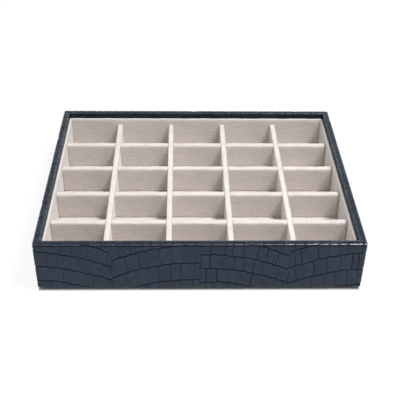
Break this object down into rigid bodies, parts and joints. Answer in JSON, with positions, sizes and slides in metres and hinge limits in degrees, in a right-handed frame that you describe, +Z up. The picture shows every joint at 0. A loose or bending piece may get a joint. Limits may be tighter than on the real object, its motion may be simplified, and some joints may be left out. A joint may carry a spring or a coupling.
{
  "type": "jewellery tray",
  "caption": "Open stackable jewellery tray wrapped in dark croc-embossed leatherette, lined with cream velvet and split into equal compartments by a half-lapped divider grid.",
  "frame": {"origin": "middle of the underside, on the surface that the tray stands on", "axes": "+X along the width to the right, +Y to the back, the front face towards -Y, +Z up"},
  "size_m": [0.25, 0.2, 0.045],
  "materials": {
    "croc_leatherette": "slate-blue leatherette with a croc emboss, semi-matt, rolled edges a little glossier",
    "velvet": "cream velvet with a short soft pile and a faint sheen",
    "felt": "dark needle felt, matt",
    "mdf": "raw fibreboard",
    "greyboard": "raw grey card"
  },
  "bodies": {
    "root": {"back_liner_card": "greyboard", "back_liner_velvet": "velvet", "back_wall_board": "mdf", "base_board": "mdf", "column_divider_core_1": "mdf", "column_divider_core_2": "mdf", "column_divider_core_3": "mdf", "column_divider_core_4": "mdf", "column_divider_velvet_1": "velvet", "column_divider_velvet_2": "velvet", "column_divider_velvet_3": "velvet", "column_divider_velvet_4": "velvet", "floor_card": "greyboard", "floor_velvet": "velvet", "front_liner_card": "greyboard", "front_liner_velvet": "velvet", "front_wall_board": "mdf", "leather_wrap": "croc_leatherette", "left_liner_card": "greyboard", "left_liner_velvet": "velvet", "left_wall_board": "mdf", "plinth_board": "greyboard", "plinth_felt": "felt", "right_liner_card": "greyboard", "right_liner_velvet": "velvet", "right_wall_board": "mdf", "row_divider_core_1": "mdf", "row_divider_core_2": "mdf", "row_divider_core_3": "mdf", "row_divider_core_4": "mdf", "row_divider_velvet_1": "velvet", "row_divider_velvet_2": "velvet", "row_divider_velvet_3": "velvet", "row_divider_velvet_4": "velvet"}
  },
  "joints": []
}
